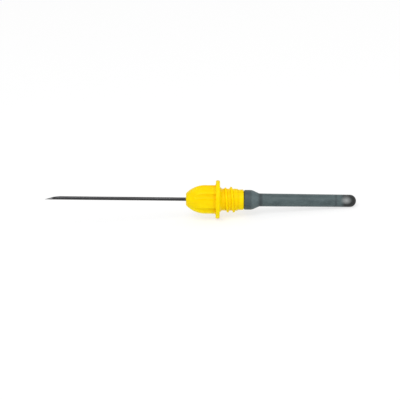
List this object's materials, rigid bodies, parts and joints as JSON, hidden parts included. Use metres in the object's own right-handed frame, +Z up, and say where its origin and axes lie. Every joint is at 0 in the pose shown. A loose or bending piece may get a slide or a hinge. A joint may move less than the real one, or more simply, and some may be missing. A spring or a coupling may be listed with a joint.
{
  "type": "blood collection needle",
  "caption": "Double-ended steel blood collection needle in a yellow threaded plastic hub, its rear point covered by a closed dark grey rubber sleeve, lying at rest.",
  "frame": {"origin": "on the ground at the centre of the part's box, as the needle lies at rest", "axes": "+Z up; +X along the needle's length, from the front point towards the sleeve's closed end; the needle's own axis lies in the XZ plane and drops towards +X, because the flange's rim and the sleeve's end touch the ground"},
  "size_m": [0.0834, 0.0104, 0.0103],
  "materials": {
    "steel": "drawn and ground",
    "yellow_plastic": "satin, as moulded",
    "cured_adhesive": "glossy, clear",
    "grey_rubber": "smooth, slightly waxy"
  },
  "bodies": {
    "root": {"cannula": "steel", "hub": "yellow_plastic", "adhesive": "cured_adhesive", "sleeve": "grey_rubber"}
  },
  "joints": []
}
